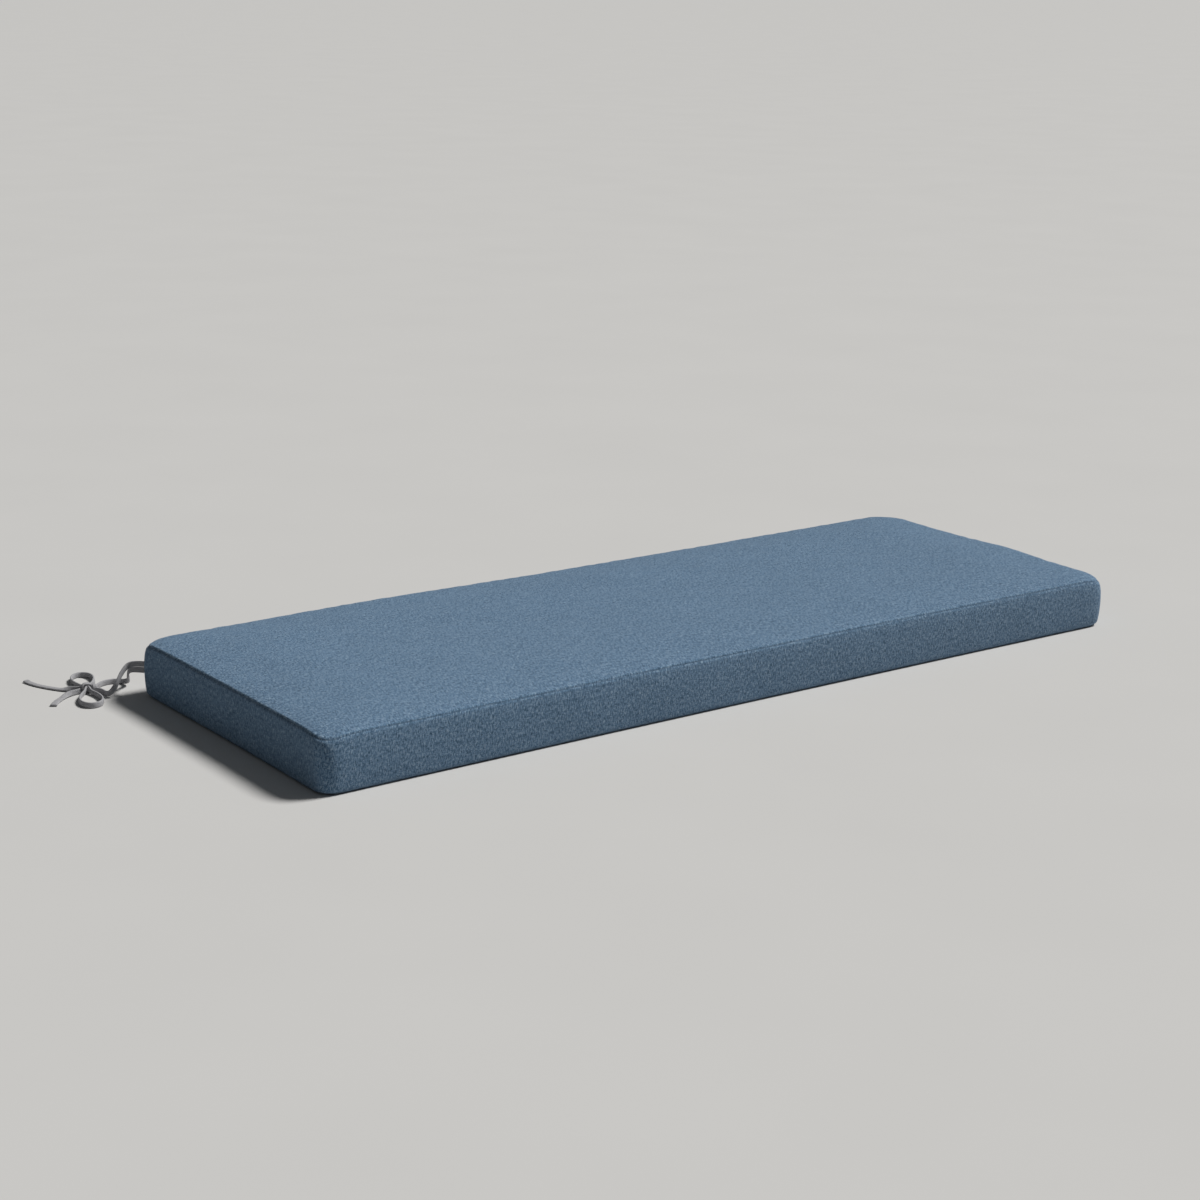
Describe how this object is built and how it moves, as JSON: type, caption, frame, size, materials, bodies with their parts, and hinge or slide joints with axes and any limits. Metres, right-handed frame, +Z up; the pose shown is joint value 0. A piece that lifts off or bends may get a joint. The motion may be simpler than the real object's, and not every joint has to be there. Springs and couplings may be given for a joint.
{
  "type": "bench cushion",
  "caption": "Long boxed bench cushion with a crowned top, rounded corners and slightly drawn-in sides, with narrow cloth ties tied in a bow at each rear corner.",
  "frame": {"origin": "middle of the flat underside, on the surface that the cushion lies on, halfway along its length and its depth", "axes": "+X along the cushion's length, to the right seen from its front; +Y from the front edge to the rear edge, where the ties are; +Z up through the cushion's thickness"},
  "size_m": [1.6224, 0.6225, 0.085],
  "materials": {
    "cushion_cloth": "matt heathered slate-blue canvas, plain weave with light and dark flecks",
    "tie_cloth": "matt mid-grey folded and stitched cloth tape"
  },
  "bodies": {
    "root": {"cushion": "cushion_cloth", "left_end_tie_run": "tie_cloth", "left_end_tie_loop": "tie_cloth", "left_end_tie_tail": "tie_cloth", "left_back_tie_run": "tie_cloth", "left_back_tie_loop": "tie_cloth", "left_back_tie_tail": "tie_cloth", "right_end_tie_run": "tie_cloth", "right_end_tie_loop": "tie_cloth", "right_end_tie_tail": "tie_cloth", "right_back_tie_run": "tie_cloth", "right_back_tie_loop": "tie_cloth", "right_back_tie_tail": "tie_cloth", "left_knot": "tie_cloth", "right_knot": "tie_cloth"}
  },
  "joints": []
}
